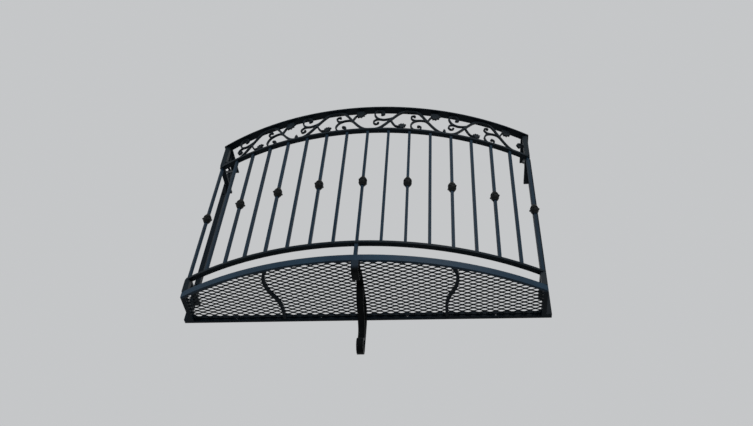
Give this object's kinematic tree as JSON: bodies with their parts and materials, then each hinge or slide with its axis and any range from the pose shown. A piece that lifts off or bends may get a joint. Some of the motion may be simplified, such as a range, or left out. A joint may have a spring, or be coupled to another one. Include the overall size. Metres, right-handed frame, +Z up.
{
  "type": "juliet balcony",
  "caption": "Shallow bowed wrought iron balcony guard with square pickets, knuckle castings, a vine scroll panel under the cap rail, an expanded metal floor and a scroll bracket.",
  "frame": {"origin": "middle of the back face of the floor frame's back rail, on the wall plane and half way up the floor frame", "axes": "+X along the wall to the right as seen from the street, +Y into the wall, +Z up"},
  "size_m": [1.695, 0.414, 1.3429],
  "materials": {
    "cap": "black satin paint",
    "rails": "black satin paint",
    "floor_frame": "black satin paint",
    "posts": "black satin paint",
    "pickets": "black satin paint",
    "knuckles": "black satin paint",
    "vine": "black satin paint",
    "bracket": "black satin paint",
    "expanded_metal": "black satin paint"
  },
  "bodies": {
    "root": {"cap_front": "cap", "cap_left": "cap", "cap_right": "cap", "panel_rail_front": "rails", "panel_rail_left": "rails", "panel_rail_right": "rails", "bottom_rail_front": "rails", "bottom_rail_left": "rails", "bottom_rail_right": "rails", "floor_band": "floor_frame", "floor_side_left": "floor_frame", "floor_side_right": "floor_frame", "floor_back_rail": "floor_frame", "floor_bar_left": "floor_frame", "floor_bar_right": "floor_frame", "wall_post_left": "posts", "wall_post_right": "posts", "corner_foot_left": "posts", "corner_foot_right": "posts", "centre_foot": "posts", "corner_upright_left": "posts", "corner_upright_right": "posts", "pickets_left": "pickets", "pickets_mid_left": "pickets", "picket_centre": "pickets", "pickets_mid_right": "pickets", "pickets_right": "pickets", "knuckles_left": "knuckles", "knuckles_mid": "knuckles", "knuckles_right": "knuckles", "vine_casting_1": "vine", "vine_casting_2": "vine", "vine_casting_3": "vine", "vine_casting_4": "vine", "vine_end_left": "vine", "vine_end_right": "vine", "vine_side_left": "vine", "vine_side_right": "vine", "centre_bracket": "bracket", "mesh_left": "expanded_metal", "mesh_mid_left": "expanded_metal", "mesh_mid_right": "expanded_metal", "mesh_right": "expanded_metal"}
  },
  "joints": []
}
